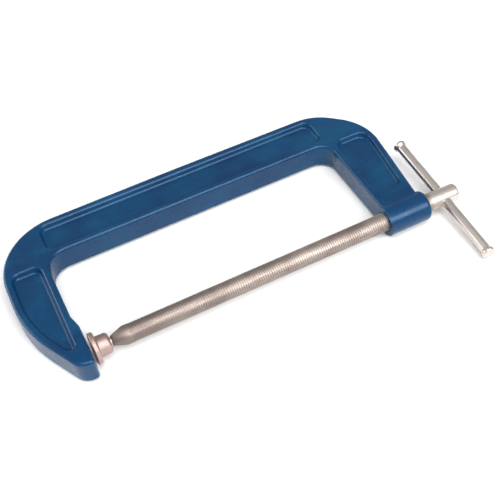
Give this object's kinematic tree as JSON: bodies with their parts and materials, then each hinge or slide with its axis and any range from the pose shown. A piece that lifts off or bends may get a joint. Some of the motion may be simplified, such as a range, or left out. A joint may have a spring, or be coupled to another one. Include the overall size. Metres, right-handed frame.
{
  "type": "c clamp",
  "caption": "C clamp with a cast I-section frame, a threaded screw with a swivel pad, and a sliding tommy bar for turning it by hand.",
  "frame": {"origin": "on the screw axis, in the plane of the anvil face", "axes": "+X along the screw from the anvil towards the tommy bar, +Y from the screw to the spine of the frame, +Z square to the flat side of the clamp"},
  "size_m": [0.3812, 0.2118, 0.0264],
  "materials": {
    "frame_paint": "deep blue gloss paint over a sand casting",
    "screw_steel": "bare, lightly oiled, rolled thread",
    "pad_steel": "turned, thin copper-coloured wash",
    "collar_steel": "dark spring steel",
    "bar_steel": "bright drawn bar with upset ends"
  },
  "bodies": {
    "frame": {"clamp_frame": "frame_paint"},
    "screw_collar": {"retaining_collar": "collar_steel"},
    "screw": {"clamp_screw": "screw_steel"},
    "handle": {"tommy_bar": "bar_steel"},
    "pad": {"swivel_pad": "pad_steel"}
  },
  "joints": [
    {"name": "screw_travel", "type": "slide", "parent": "frame", "child": "screw_collar", "axis": [1, 0, 0], "range_m": [0, 0.248]},
    {"name": "screw_turn", "type": "hinge", "parent": "screw_collar", "child": "screw", "pos_m": [0.01005, 0, 0], "axis": [1, 0, 0], "range_deg": [0, 44640]},
    {"name": "bar_slide", "type": "slide", "parent": "screw", "child": "handle", "axis": [0, 0.9962, 0.0872], "range_m": [-0.056, 0.056]},
    {"name": "pad_tilt", "type": "hinge", "parent": "screw_collar", "child": "pad", "pos_m": [0.01005, 0, 0], "axis": [0, 0, 1], "range_deg": [-10, 10]}
  ],
  "couplings": [
    {"joint": "screw_turn", "follows": "screw_travel", "rad_per_m": 3141.6}
  ]
}
